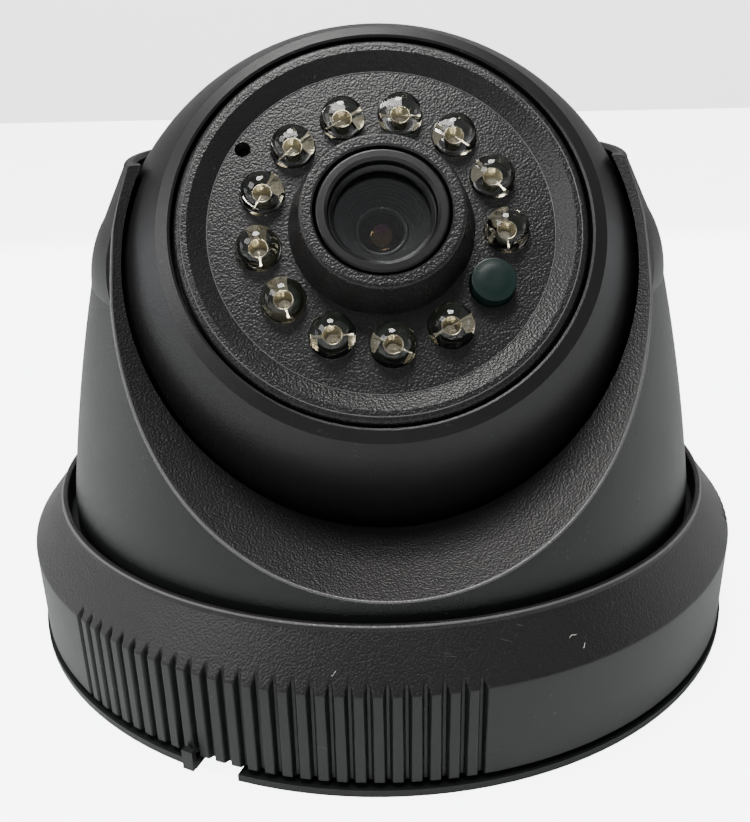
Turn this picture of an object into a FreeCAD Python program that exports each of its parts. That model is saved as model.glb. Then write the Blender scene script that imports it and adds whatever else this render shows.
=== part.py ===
import FreeCAD, Part
import math
import os
import types

import Sketcher

# Ceiling dome camera: a ball that holds the lens and its lamps, in a turret with a U-shaped front
# opening, on a round base with a ribbed lock ring. Millimetres. The origin is the centre of the
# base's ceiling face, +Z points away from the ceiling, and the lens looks towards -Y and +Z.

os.makedirs("parts", exist_ok=True)
doc = FreeCAD.newDocument("dome_camera")
sheet = doc.addObject("Spreadsheet::Sheet", "sizes")

# ---------------------------------------------------------------- driving dimensions

DIMENSIONS = {
    # base plate, seen from its centre line outwards
    "floor_thick": 2.2,
    "flange_radius": 47.2,
    "flange_thick": 0.85,
    "upstand_inner": 40.4,
    "upstand_outer": 42.4,
    "upstand_top": 12.6,
    "screw_circle": 66.0,
    "screw_hole": 2.1,
    "cable_hole": 8.0,
    "cable_hole_back": 20.0,
    "notch_angle": -113.8,
    "notch_width": 5.0,
    "tab_width": 2.6,
    "tab_top": 2.5,
    "tab_inner": 47.1,
    "tab_outer": 47.8,
    # bayonet lugs
    "lug_angle": 24.0,
    "lug_thick": 1.6,
    "base_lug_radius": 44.6,
    "base_lug_bottom": 6.2,
    "ring_lug_radius": 43.1,
    "ring_lug_gap": 0.2,
    # lock ring
    "ring_radius": 47.0,
    "ring_foot_radius": 46.9,
    "ring_bottom": 1.45,
    "ring_edge_height": 12.2,
    "ring_inner": 45.1,
    "ring_cone_top_radius": 43.15,
    "ring_cone_top": 17.0,
    "ring_lip_top": 17.6,
    "ring_lip_inner": 42.3,
    "ring_land": 14.5,
    "ring_land_radius": 43.35,
    "groove_count": 26,
    "groove_pitch": 2.32,
    "groove_depth": 0.75,
    "groove_mouth": 0.94,
    "groove_floor": 0.34,
    "groove_zone_start": -137.8,
    # turret
    "foot_radius": 43.0,
    "foot_bottom": 12.8,
    "foot_top": 14.2,
    "foot_inner": 38.6,
    "turret_low_radius": 41.3,
    "turret_low_height": 17.8,
    "shoulder_radius": 36.0,
    "shoulder_height": 44.5,
    "shoulder_end_radius": 33.6,
    "shoulder_end_height": 52.0,
    "shoulder_curve": 14.0,
    "wall_curve": 240.0,
    "rim_radius": 30.7,
    "rim_top": 58.5,
    "rim_rounding": 0.6,
    "scoop_elevation": 46.0,
    "scoop_axis_height": 12.3,
    "scoop_point": 18.7,
    "scoop_half_angle": 59.4,
    "scoop_reach": 70.0,
    "scoop_wall": 2.0,
    "seat_inner": 22.9,
    "seat_bottom": 12.6,
    "seat_top": 14.2,
    "seat_boss_circle": 36.0,
    "seat_boss_radius": 2.2,
    "seat_boss_top": 23.0,
    # ball
    "ball_radius": 34.2,
    "ball_height": 39.0,
    "ball_gap": 0.7,
    "shell_wall": 2.0,
    "lens_elevation": 35.5,
    "pivot_radius": 2.5,
    "pivot_end": 36.6,
    "pivot_clearance": 0.07,
    "seam": 5.0,
    "seam_gap": 0.1,
    "roll_lip": 28.5,
    "roll_lip_thick": 2.4,
    "roll_gap": 0.3,
    "web_top": 7.1,
    "web_inner": 16.2,
    "spigot_inner": 24.0,
    "roll_screw_circle": 26.1,
    "grommet_hole": 4.5,
    "bezel_outer": 24.4,
    "bezel_inner": 22.9,
    "bezel_height": 24.4,
    # face plate, in heights above the ball's centre
    "plate_radius": 22.5,
    "plate_crest_radius": 21.0,
    "plate_crest": 24.4,
    "plate_floor_radius": 19.06,
    "plate_floor": 23.2,
    "plate_under": 21.9,
    "boss_foot_radius": 10.2,
    "boss_radius": 8.8,
    "boss_top": 27.5,
    "lens_opening": 7.4,
    "lamp_circle": 13.6,
    "lamp_hole": 2.55,
    "lamp_radius": 2.45,
    "lamp_tip": 26.0,
    "lamp_seat": 17.7,
    "lamp_turn": -3.8,
    "lamp_places": 13,
    "cap_height": 1.7,
    "microphone_circle": 17.9,
    "microphone_angle": 147.6,
    "microphone_hole": 0.9,
    # electronics
    "board_thick": 1.6,
    "lamp_board_radius": 21.2,
    "lamp_board_bore": 8.3,
    "post_circle": 18.6,
    "post_radius": 1.6,
    "post_screw": 1.0,
    "main_board_half": 15.0,
    "main_board_under": 8.9,
    "main_board_hole": 13.0,
    "holder_screw": 9.2,
    "holder_bore": 6.04,
    "holder_top": 15.8,
    "holder_floor": 12.3,
    # lens
    "thread_radius": 5.97,
    "thread_bottom": 12.8,
    "head_radius": 7.1,
    "head_bottom": 19.5,
    "head_top": 27.3,
    "glass_radius": 5.75,
    "glass_top": 25.8,
    "iris_radius": 2.65,
}


class Size:
    """A length or an angle: its number, and the sheet formula that gives the number."""

    def __init__(self, number, formula):
        self.number = number
        self.formula = formula

    def __add__(self, other):
        other = as_size(other)
        return Size(self.number + other.number, f"({self.formula} + {other.formula})")

    def __sub__(self, other):
        other = as_size(other)
        return Size(self.number - other.number, f"({self.formula} - {other.formula})")

    def __mul__(self, other):
        other = as_size(other)
        return Size(self.number * other.number, f"({self.formula} * {other.formula})")

    def __truediv__(self, other):
        other = as_size(other)
        return Size(self.number / other.number, f"({self.formula} / {other.formula})")

    def __neg__(self):
        return Size(-self.number, f"(0 - {self.formula})")


def as_size(value):
    return value if isinstance(value, Size) else Size(float(value), f"({float(value):g})")


def root(size):
    return Size(math.sqrt(size.number), f"sqrt({size.formula})")


def cosine(angle):
    return Size(math.cos(math.radians(angle.number)), f"cos({angle.formula})")


def sine(angle):
    return Size(math.sin(math.radians(angle.number)), f"sin({angle.formula})")


def on_sphere(radius, height):
    """Radius, at this height above the centre, of a sphere."""
    return root(radius * radius - height * height)


dim = types.SimpleNamespace()
for row, (alias, value) in enumerate(DIMENSIONS.items(), start=1):
    sheet.set(f"A{row}", alias)
    sheet.set(f"B{row}", str(value))
    sheet.setAlias(f"B{row}", alias)
    setattr(dim, alias, Size(float(value), f"sizes.{alias}"))
doc.recompute()

ZERO = as_size(0)
LAMPS = DIMENSIONS["lamp_places"] - 1
LAMP_STEP = 360.0 / DIMENSIONS["lamp_places"]
THIRDS = (0, 120, 240)
nodes = []

# ---------------------------------------------------------------- helpers


def bind(thing, **properties):
    """Give each property its number and tie it to its sheet formula."""
    for name, value in properties.items():
        size = as_size(value)
        setattr(thing, name, size.number)
        thing.setExpression(name, size.formula)


def place(thing, x=0, y=0, z=0, axis=(0, 0, 1), angle=0.0):
    """Put a thing at a bound point, turned about one axis."""
    spot = [as_size(value) for value in (x, y, z)]
    base = FreeCAD.Vector(*[size.number for size in spot])
    thing.Placement = FreeCAD.Placement(base, FreeCAD.Rotation(FreeCAD.Vector(*axis), angle))
    for letter, size in zip("xyz", spot):
        thing.setExpression(f"Placement.Base.{letter}", size.formula)
    return thing


def around(radius, degrees):
    """The x and y of a point on a circle about the local axis."""
    turn = as_size(degrees)
    return {"x": as_size(radius) * cosine(turn), "y": as_size(radius) * sine(turn)}


def cylinder(name, radius, low, high, **spot):
    thing = doc.addObject("Part::Cylinder", name)
    bind(thing, Radius=radius, Height=as_size(high) - low)
    return place(thing, z=low, **spot)


def block(name, width, depth, low, high, x=0, y=0, angle=0.0):
    """A box centred on x, y between two heights, turned about the local axis."""
    thing = doc.addObject("Part::Box", name)
    bind(thing, Length=width, Width=depth, Height=as_size(high) - low)
    half_width = as_size(width) / 2
    half_depth = as_size(depth) / 2
    turn = as_size(angle)
    corner_x = as_size(x) - half_width * cosine(turn) + half_depth * sine(turn)
    corner_y = as_size(y) - half_width * sine(turn) - half_depth * cosine(turn)
    return place(thing, x=corner_x, y=corner_y, z=low, angle=turn.number)


def join(name, things):
    thing = doc.addObject("Part::MultiFuse", name)
    thing.Shapes = things
    return thing


def cut(name, base, tools):
    """Take several tools from a base in one cut."""
    thing = doc.addObject("Part::Cut", name)
    thing.Base = base
    thing.Tool = tools[0] if len(tools) == 1 else join(f"{name}_tools", tools)
    return thing


def group(name, things):
    thing = doc.addObject("Part::Compound", name)
    thing.Links = things
    return thing


def origin_part(body, role):
    return next(feature for feature in body.Origin.OriginFeatures if feature.Role == role)


def arc_between(start, end, radius):
    """The short arc from start to end; a positive radius bulges right of the way, a negative left."""
    middle = (start + end) * 0.5
    chord = end - start
    left = FreeCAD.Vector(-chord.y, chord.x, 0).normalize()
    rise = math.sqrt(radius * radius - chord.Length ** 2 / 4)
    centre = middle + left * math.copysign(rise, radius)
    first, last = (start, end) if radius > 0 else (end, start)
    first_angle = math.atan2(first.y - centre.y, first.x - centre.x)
    last_angle = math.atan2(last.y - centre.y, last.x - centre.x)
    circle = Part.Circle(centre, FreeCAD.Vector(0, 0, 1), abs(radius))
    return Part.ArcOfCircle(circle, first_angle, last_angle)


def outline(sketch, corners):
    """Add a closed outline to a sketch, with every corner pinned to the sheet.

    A corner is (x, y), or (x, y, radius) where the edge that arrives at it is an arc.
    """
    points = [FreeCAD.Vector(as_size(c[0]).number, as_size(c[1]).number, 0) for c in corners]
    first = sketch.GeometryCount
    ends = []
    for index, corner in enumerate(corners):
        start, end = points[index - 1], points[index]
        if len(corner) == 2:
            sketch.addGeometry(Part.LineSegment(start, end), False)
            ends.append((1, 2))
        else:
            bulge = as_size(corner[2])
            sketch.addGeometry(arc_between(start, end, bulge.number), False)
            ends.append((1, 2) if bulge.number > 0 else (2, 1))
    for index, corner in enumerate(corners):
        following = (index + 1) % len(corners)
        edge, next_edge = first + index, first + following
        end_vertex, next_vertex = ends[index][1], ends[following][0]
        sketch.addConstraint(Sketcher.Constraint("Coincident", edge, end_vertex, next_edge, next_vertex))
        pin(sketch, edge, end_vertex, corner[0], corner[1])
        if len(corner) == 3:
            bulge = as_size(corner[2])
            size = bulge if bulge.number > 0 else -bulge
            number = sketch.addConstraint(Sketcher.Constraint("Radius", edge, size.number))
            sketch.setExpression(f"Constraints[{number}]", size.formula)


def pin(sketch, edge, vertex, x, y):
    """Fix one vertex by its distances from the sketch's origin."""
    for kind, axis_line, value in (("DistanceX", -2, x), ("DistanceY", -1, y)):
        size = as_size(value)
        if size.number == 0:
            sketch.addConstraint(Sketcher.Constraint("PointOnObject", edge, vertex, axis_line))
            continue
        number = sketch.addConstraint(Sketcher.Constraint(kind, -1, 1, edge, vertex, size.number))
        sketch.setExpression(f"Constraints[{number}]", size.formula)


def new_sketch(body, name, role):
    sketch = body.newObject("Sketcher::SketchObject", name)
    sketch.AttachmentSupport = [(origin_part(body, role), "")]
    sketch.MapMode = "FlatFace"
    return sketch


def lathe(name, corners):
    """A body turned about its own Z from an outline of radius and height."""
    body = doc.addObject("PartDesign::Body", name)
    sketch = new_sketch(body, f"{name}_outline", "XZ_Plane")
    outline(sketch, corners)
    turned = body.newObject("PartDesign::Revolution", f"{name}_turned")
    turned.Profile = sketch
    turned.ReferenceAxis = (sketch, ["V_Axis"])
    turned.Angle = 360
    sketch.Visibility = False
    return body


def tube(name, inner, outer, low, high):
    return lathe(name, [(inner, low), (outer, low), (outer, high), (inner, high)])


def pie(name, inner, outer, low, high, start, sweep):
    """Part of a ring: a sector between two radii and two heights."""
    def wedge(radius, part):
        thing = doc.addObject("Part::Cylinder", f"{name}_{part}")
        bind(thing, Radius=radius, Height=as_size(high) - low, Angle=sweep)
        return place(thing, z=low, angle=start)
    return cut(name, wedge(outer, "full"), [wedge(inner, "hollow")])


def screw(name, head_radius, head_height, shank_radius, length, x, y, face, upward=True):
    """A cross-head screw whose head bears on a face and whose shank goes up, or down, from it."""
    sign = 1 if upward else -1
    face = as_size(face)
    head_end = face - as_size(head_height) * sign
    shank_end = face + as_size(length) * sign
    low, high = (head_end, face) if upward else (face, head_end)
    head = cylinder(f"{name}_head", head_radius, low, high, x=x, y=y)
    low, high = (face, shank_end) if upward else (shank_end, face)
    shank = cylinder(f"{name}_shank", shank_radius, low, high, x=x, y=y)
    depth = as_size(head_height) * 0.55
    low, high = (head_end, head_end + depth) if upward else (head_end - depth, head_end)
    slot = as_size(head_radius) * 1.1
    width = as_size(head_radius) * 0.28
    slots = [block(f"{name}_slot_{turn}", slot, width, low, high, x, y, turn) for turn in (0, 90)]
    return cut(name, join(f"{name}_blank", [head, shank]), slots)


def keep(thing, name, tilted=False):
    """Name a finished piece; a tilted one is drawn about the ball's centre with the lens along +Z."""
    if thing.TypeId in ("Part::Box", "Part::Cylinder"):
        thing = group(f"{name}_solid", [thing])
    thing.Label = name
    if tilted:
        place(thing, z=dim.ball_height, axis=(1, 0, 0), angle=90 - dim.lens_elevation.number)
    nodes.append(thing)
    return thing


# ---------------------------------------------------------------- base plate and lock ring


def make_base_plate():
    plate = lathe("plate", [
        (ZERO, ZERO),
        (dim.flange_radius, ZERO),
        (dim.flange_radius, dim.flange_thick),
        (dim.upstand_outer, dim.flange_thick),
        (dim.upstand_outer, dim.upstand_top),
        (dim.upstand_inner, dim.upstand_top),
        (dim.upstand_inner, dim.floor_thick),
        (ZERO, dim.floor_thick),
    ])
    lugs = []
    lug_top = dim.base_lug_bottom + dim.lug_thick
    root_radius = dim.upstand_outer - 0.5
    stop_start = dim.lug_angle.number / 2 + 0.6
    stop_bottom = 3.5
    stop_angle = 1.8
    for number, turn in enumerate(THIRDS):
        start = turn - dim.lug_angle.number / 2
        lugs.append(pie(f"base_lug_{number}", root_radius, dim.base_lug_radius,
                        dim.base_lug_bottom, lug_top, start, dim.lug_angle + 2.4))
        lugs.append(pie(f"base_stop_{number}", root_radius, dim.base_lug_radius,
                        stop_bottom, lug_top, turn + stop_start, stop_angle))
    notch_turn = dim.notch_angle.number
    notch_inner = dim.upstand_outer + 0.4
    reach = dim.flange_radius - notch_inner + 1
    notch_middle = notch_inner + reach / 2
    notch = block("notch", reach, dim.notch_width, -1, dim.tab_top + 1,
                  angle=notch_turn, **around(notch_middle, notch_turn))
    tab_turn = notch_turn - math.degrees(dim.notch_width.number / 2 / dim.flange_radius.number)
    tab_span = math.degrees(dim.tab_width.number / dim.flange_radius.number)
    tab_blank = pie("tab_blank", dim.tab_inner - 1, dim.tab_outer, 0.1, dim.tab_top,
                    tab_turn - tab_span / 2, tab_span)
    tab_inside = cylinder("tab_inside", dim.tab_inner, dim.flange_thick - 0.2, dim.tab_top + 1)
    tab = cut("tab", tab_blank, [tab_inside])
    holes = [cylinder(f"fixing_hole_{turn}", dim.screw_hole, -1, dim.floor_thick + 1,
                      **around(dim.screw_circle / 2, 90 + 60 + turn)) for turn in THIRDS]
    cable = cylinder("cable_hole_tool", dim.cable_hole, -1, dim.floor_thick + 1, y=dim.cable_hole_back)
    body = join("plate_with_lugs", [plate, tab] + lugs)
    keep(cut("base_plate_cut", body, [notch, cable] + holes), "base_plate")


def make_lock_ring():
    ring = lathe("ring", [
        (dim.ring_inner, dim.ring_bottom),
        (dim.ring_foot_radius, dim.ring_bottom),
        (dim.ring_radius, dim.ring_edge_height),
        (dim.ring_cone_top_radius, dim.ring_cone_top),
        (dim.ring_cone_top_radius - 0.05, dim.ring_lip_top - 0.25),
        (dim.ring_cone_top_radius - 0.3, dim.ring_lip_top, 0.25),
        (dim.ring_lip_inner + 0.3, dim.ring_lip_top),
        (dim.ring_lip_inner, dim.ring_lip_top - 0.3, 0.3),
        (dim.ring_lip_inner, dim.ring_land),
        (dim.ring_land_radius, dim.ring_land),
        (dim.ring_inner, dim.ring_edge_height - 0.3),
    ])
    sketch = new_sketch(ring, "groove_section", "XY_Plane")
    floor_radius = dim.ring_radius - dim.groove_depth
    beyond = dim.ring_radius + 0.5
    half_floor, half_mouth = dim.groove_floor / 2, dim.groove_mouth / 2
    outline(sketch, [
        (floor_radius, half_floor),
        (floor_radius, -half_floor),
        (dim.ring_radius - 0.1, -half_mouth),
        (beyond, -half_mouth - 0.35),
        (beyond, half_mouth + 0.35),
        (dim.ring_radius - 0.1, half_mouth),
    ])
    sketch.AttachmentOffset = FreeCAD.Placement(
        FreeCAD.Vector(0, 0, 0), FreeCAD.Rotation(FreeCAD.Vector(0, 0, 1), dim.groove_zone_start.number))
    groove = ring.newObject("PartDesign::Pocket", "groove")
    groove.Profile = sketch
    groove.Type = 0
    groove.Length = dim.ring_lip_top.number + 5
    groove.Reversed = True
    zone = ring.newObject("PartDesign::MultiTransform", "grip_zones")
    zone.Originals = [groove]
    grooves = ring.newObject("PartDesign::PolarPattern", "grooves")
    grooves.Axis = (origin_part(ring, "Z_Axis"), [""])
    grooves.Angle = (dim.groove_pitch * (dim.groove_count - 1)).number
    grooves.Occurrences = DIMENSIONS["groove_count"]
    thirds = ring.newObject("PartDesign::PolarPattern", "thirds")
    thirds.Axis = (origin_part(ring, "Z_Axis"), [""])
    thirds.Angle = 360
    thirds.Occurrences = len(THIRDS)
    zone.Transformations = [grooves, thirds]
    ring.Tip = zone
    lugs = []
    lug_top = dim.base_lug_bottom - dim.ring_lug_gap
    for number, turn in enumerate(THIRDS):
        lugs.append(pie(f"ring_lug_{number}", dim.ring_lug_radius, dim.ring_inner + 0.4,
                        lug_top - dim.lug_thick, lug_top,
                        turn - dim.lug_angle.number / 2, dim.lug_angle))
    keep(join("ring_with_lugs", [ring] + lugs), "lock_ring")


# ---------------------------------------------------------------- turret


def turret_outside():
    """Corners of the turret's outer profile, from the foot up to the rim."""
    return [
        (dim.foot_radius, dim.foot_bottom),
        (dim.foot_radius, dim.foot_top),
        (dim.turret_low_radius + 0.2, dim.foot_top),
        (dim.turret_low_radius, dim.turret_low_height),
        (dim.shoulder_radius, dim.shoulder_height, dim.wall_curve),
        (dim.shoulder_end_radius, dim.shoulder_end_height, dim.shoulder_curve),
        (dim.rim_radius, dim.rim_top - dim.rim_rounding),
        (dim.rim_radius - dim.rim_rounding, dim.rim_top, dim.rim_rounding * 1.05),
    ]


def scoop(name, set_back):
    """A wide cone that opens forwards and upwards, with its point set back along its axis."""
    angle, elevation = dim.scoop_half_angle, dim.scoop_elevation
    start = dim.scoop_point - set_back
    cone = doc.addObject("Part::Cone", name)
    bind(cone, Radius1=ZERO, Radius2=dim.scoop_reach * sine(angle) / cosine(angle), Height=dim.scoop_reach)
    return place(cone, y=-start * cosine(elevation), z=dim.scoop_axis_height + start * sine(elevation),
                 axis=(1, 0, 0), angle=90 - elevation.number)


def make_turret_shell():
    pocket = dim.ball_radius + dim.ball_gap
    rim_inner = on_sphere(pocket, dim.rim_top - 0.5 - dim.ball_height)
    shell = lathe("turret", [(dim.foot_inner, dim.foot_bottom)] + turret_outside() + [
        (rim_inner + 0.3, dim.rim_top),
        (rim_inner, dim.rim_top - 0.5),
        (rim_inner, dim.ball_height - 2),
        (pocket - 1.1, dim.ball_height - 2),
    ])
    filled = lathe("turret_filled", [(ZERO, dim.foot_bottom)] + turret_outside() + [(ZERO, dim.rim_top)])
    lining = doc.addObject("Part::Common", "scoop_lining")
    lining.Base = filled
    lining.Tool = scoop("lining_cone", dim.scoop_wall / sine(dim.scoop_half_angle))
    bosses = [cylinder(f"seat_boss_{turn}", dim.seat_boss_radius, dim.seat_top, dim.seat_boss_top,
                       **around(dim.seat_boss_circle, 90 + turn)) for turn in THIRDS]
    tools = [scoop("scoop_cone", ZERO)]
    tools += [cylinder(f"seat_boss_hole_{turn}", 1.25, dim.seat_top - 1, dim.seat_boss_top - 2,
                       **around(dim.seat_boss_circle, 90 + turn)) for turn in THIRDS]
    ball_pocket = doc.addObject("Part::Sphere", "ball_pocket")
    bind(ball_pocket, Radius=pocket)
    tools.append(place(ball_pocket, z=dim.ball_height))
    sockets = doc.addObject("Part::Cylinder", "pivot_sockets")
    reach = dim.pivot_end + 0.1
    bind(sockets, Radius=dim.pivot_radius + dim.pivot_clearance, Height=reach * 2)
    tools.append(place(sockets, x=-reach, z=dim.ball_height, axis=(0, 1, 0), angle=90))
    keep(cut("turret_cut", join("turret_solid", [shell, lining] + bosses), tools), "turret_shell")


def make_ball_seat():
    outer = dim.foot_inner - 0.4
    ring = lathe("seat", [
        (dim.seat_inner, dim.seat_bottom),
        (outer, dim.seat_bottom),
        (outer, dim.seat_top),
        (dim.seat_inner + 1.4, dim.seat_top),
    ])
    holes = [cylinder(f"seat_hole_{turn}", 1.3, dim.seat_bottom - 1, dim.seat_top + 1,
                      **around(dim.seat_boss_circle, 90 + turn)) for turn in THIRDS]
    keep(cut("seat_cut", ring, holes), "ball_seat")
    low = dim.seat_top
    inner = dim.seat_inner + 2.1
    keep(lathe("gasket", [
        (inner, low),
        (inner + 2.0, low),
        (inner + 2.0, low + 2.2),
        (inner + 0.4, low + 1.1, 4.0),
    ]), "seat_gasket")
    keep(group("seat_screw_set", [
        screw(f"seat_screw_{turn}", 2.3, 1.6, 1.2, 7.0, face=dim.seat_bottom,
              **around(dim.seat_boss_circle, 90 + turn)) for turn in THIRDS]), "seat_screws")


# ---------------------------------------------------------------- ball shells


def make_ball_rear():
    outer, inner = dim.ball_radius, dim.ball_radius - dim.shell_wall
    seam = dim.seam - dim.seam_gap
    lip_under = seam - dim.roll_lip_thick
    hole = dim.grommet_hole
    shell = lathe("rear", [
        (hole, -on_sphere(outer, hole)),
        (on_sphere(outer, seam), seam, outer),
        (dim.roll_lip, seam),
        (dim.roll_lip, lip_under),
        (on_sphere(inner, lip_under), lip_under),
        (hole, -on_sphere(inner, hole), -inner),
    ])
    pins = []
    for name, start in (("left", -dim.pivot_end), ("right", dim.ball_radius - 1.4)):
        pin_solid = doc.addObject("Part::Cylinder", f"{name}_pin")
        bind(pin_solid, Radius=dim.pivot_radius, Height=dim.pivot_end - dim.ball_radius + 1.4)
        pins.append(place(pin_solid, x=start, axis=(0, 1, 0), angle=90))
    keep(join("rear_with_pins", [shell] + pins), "ball_rear_shell", tilted=True)
    flange = -on_sphere(inner, hole) + 0.7
    keep(lathe("grommet", [
        (hole - 1.5, flange - 2.5),
        (hole - 0.1, flange - 2.5),
        (hole - 0.1, flange),
        (hole + 1.7, flange),
        (hole + 1.7, flange + 1.0),
        (hole - 1.5, flange + 1.0),
    ]), "cable_grommet", tilted=True)


def roll_screw_spots():
    return [around(dim.roll_screw_circle, 30 + turn) for turn in THIRDS]


def main_board_spots():
    reach = dim.main_board_hole
    return [{"x": x, "y": y} for x in (reach, -reach) for y in (reach, -reach)]


def make_ball_front():
    outer, inner = dim.ball_radius, dim.ball_radius - dim.shell_wall
    seam = dim.seam + dim.seam_gap
    spigot = dim.roll_lip - dim.roll_gap
    spigot_end = dim.seam - dim.seam_gap - dim.roll_lip_thick - dim.roll_gap
    ledge_under = dim.plate_under - 1.0
    recess = dim.bezel_inner - 0.1
    shell = lathe("front", [
        (on_sphere(outer, seam), seam),
        (dim.bezel_outer, on_sphere(outer, dim.bezel_outer), outer),
        (dim.bezel_inner + 0.15, dim.bezel_height),
        (recess, dim.bezel_height - 0.15),
        (recess, dim.plate_under),
        (dim.plate_radius - 0.8, dim.plate_under),
        (dim.plate_radius - 0.8, ledge_under),
        (on_sphere(inner, ledge_under), ledge_under),
        (on_sphere(inner, dim.web_top), dim.web_top, -inner),
        (dim.web_inner, dim.web_top),
        (dim.web_inner, seam),
        (dim.spigot_inner, seam),
        (dim.spigot_inner, spigot_end),
        (spigot, spigot_end),
        (spigot, seam),
    ])
    holes = []
    for number, spot in enumerate(roll_screw_spots()):
        holes.append(cylinder(f"roll_hole_{number}", 1.05, spigot_end - 1, spigot_end + 4.2, **spot))
    for number, spot in enumerate(main_board_spots()):
        holes.append(cylinder(f"web_hole_{number}", 1.05, seam - 1, dim.web_top + 1, **spot))
    keep(cut("front_cut", shell, holes), "ball_front_shell", tilted=True)

    ring_thick = 2.2
    ring = tube("roller", dim.spigot_inner, dim.roll_lip + 2.0, spigot_end - ring_thick, spigot_end)
    ring_holes = [cylinder(f"roller_hole_{number}", 1.05, spigot_end - 4, spigot_end + 1, **spot)
                  for number, spot in enumerate(roll_screw_spots())]
    keep(cut("roller_cut", ring, ring_holes), "roll_ring", tilted=True)
    keep(group("roll_screw_set", [
        screw(f"roll_screw_{number}", 2.0, 1.3, 1.0, ring_thick + 4.0, face=spigot_end - ring_thick, **spot)
        for number, spot in enumerate(roll_screw_spots())]), "roll_ring_screws", tilted=True)


# ---------------------------------------------------------------- face plate and its lamps


def lamp_spots():
    """The places of the lamps; the last of the equal steps holds the light sensor."""
    return [around(dim.lamp_circle, dim.lamp_turn + LAMP_STEP * place_number)
            for place_number in range(LAMPS + 1)]


def post_spots():
    return [around(dim.post_circle, dim.lamp_turn + LAMP_STEP * (place_number + 0.5))
            for place_number in (1, 6, 10)]


def make_face_plate():
    under, floor, crest = dim.plate_under, dim.plate_floor, dim.plate_crest
    rounding = 0.8
    plate = lathe("plate_face", [
        (dim.lens_opening, under),
        (dim.plate_radius, under),
        (dim.plate_radius, crest - rounding),
        (dim.plate_radius - rounding, crest, rounding),
        (dim.plate_crest_radius, crest),
        (dim.plate_floor_radius, floor),
        (dim.boss_foot_radius, floor),
        (dim.boss_radius + 0.12, dim.boss_top - 0.4),
        (dim.boss_radius - 0.3, dim.boss_top, 0.45),
        (dim.lens_opening + 0.2, dim.boss_top),
        (dim.lens_opening, dim.boss_top - 0.2),
    ])
    posts = [cylinder(f"post_{number}", dim.post_radius, dim.lamp_seat, under + 0.4, **spot)
             for number, spot in enumerate(post_spots())]
    holes = [cylinder(f"lamp_hole_{number}", dim.lamp_hole, under - 0.5, crest + 1, **spot)
             for number, spot in enumerate(lamp_spots())]
    holes += [cylinder(f"post_hole_{number}", dim.post_screw + 0.05, dim.lamp_seat - 1, under, **spot)
              for number, spot in enumerate(post_spots())]
    sound_hole = around(dim.microphone_circle, dim.microphone_angle)
    holes.append(cylinder("sound_hole", dim.microphone_hole, under - 1, crest + 1, **sound_hole))
    keep(cut("face_cut", join("face_with_posts", [plate] + posts), holes), "face_plate", tilted=True)


def make_lamp(number, spot):
    radius, seat = dim.lamp_radius, dim.lamp_seat
    middle = dim.lamp_tip - radius
    flange = cylinder(f"lamp_flange_{number}", radius + 0.35, seat, seat + 0.9, **spot)
    barrel = cylinder(f"lamp_barrel_{number}", radius, seat, middle, **spot)
    dome = doc.addObject("Part::Sphere", f"lamp_dome_{number}")
    bind(dome, Radius=radius)
    place(dome, z=middle, **spot)
    return join(f"lamp_{number}", [flange, barrel, dome])


def make_lead_frames(number, spot):
    """The two metal legs inside a lamp: one carries the cup, the other a flat post."""
    seat = dim.lamp_seat
    turn = as_size(dim.lamp_turn.number + LAMP_STEP * number + 90)
    frames = []
    for side, top in ((0.75, seat + 4.8), (-0.75, seat + 5.2)):
        x = spot["x"] + cosine(turn) * side
        y = spot["y"] + sine(turn) * side
        frames.append(block(f"leg_{number}_{side}", 0.5, 0.6, seat, top, x, y, turn.number))
    cup = doc.addObject("Part::Cone", f"cup_{number}")
    bind(cup, Radius1=0.45, Radius2=0.8, Height=1.0)
    place(cup, z=seat + 4.5, **spot)
    frames[0] = join(f"anvil_{number}", [frames[0], cup])
    return frames


def make_lamps():
    spots = lamp_spots()
    lamp_places = list(enumerate(spots[:LAMPS]))
    keep(group("lamp_set", [make_lamp(number, spot) for number, spot in lamp_places]),
         "ir_leds", tilted=True)
    frames = [frame for number, spot in lamp_places for frame in make_lead_frames(number, spot)]
    keep(group("frame_set", frames), "led_lead_frames", tilted=True)
    seat = dim.lamp_seat
    cap = cylinder("cap_body", dim.lamp_radius, seat, dim.plate_floor + dim.cap_height, **spots[LAMPS])
    hollow = cylinder("cap_hollow", dim.lamp_radius - 0.55, seat - 1, seat + 1.8, **spots[LAMPS])
    keep(cut("cap_cut", cap, [hollow]), "light_sensor_cap", tilted=True)
    keep(block("sensor_chip", 2.0, 1.6, seat, seat + 1.1, **spots[LAMPS]), "light_sensor", tilted=True)


# ---------------------------------------------------------------- electronics inside the ball


def make_lamp_board():
    top = dim.lamp_seat
    under = top - dim.board_thick
    board = tube("lamp_disc", dim.lamp_board_bore, dim.lamp_board_radius, under, top)
    holes = [cylinder(f"disc_hole_{number}", dim.post_screw + 0.1, under - 1, top + 1, **spot)
             for number, spot in enumerate(post_spots())]
    keep(cut("disc_cut", board, holes), "led_board", tilted=True)
    keep(group("disc_screw_set", [
        screw(f"disc_screw_{number}", 1.7, 1.2, dim.post_screw, 4.4, face=under, **spot)
        for number, spot in enumerate(post_spots())]), "led_board_screws", tilted=True)
    parts = [block(f"resistor_{turn}", 3.2, 1.6, under - 0.6, under, angle=turn, **around(17.0, turn))
             for turn in (12, 75, 110, 215, 262, 320)]
    keep(group("resistor_set", parts), "led_board_parts", tilted=True)
    capsule = around(dim.microphone_circle, dim.microphone_angle)
    keep(cylinder("capsule", 2.0, top, top + 2.6, **capsule), "microphone", tilted=True)


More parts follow.
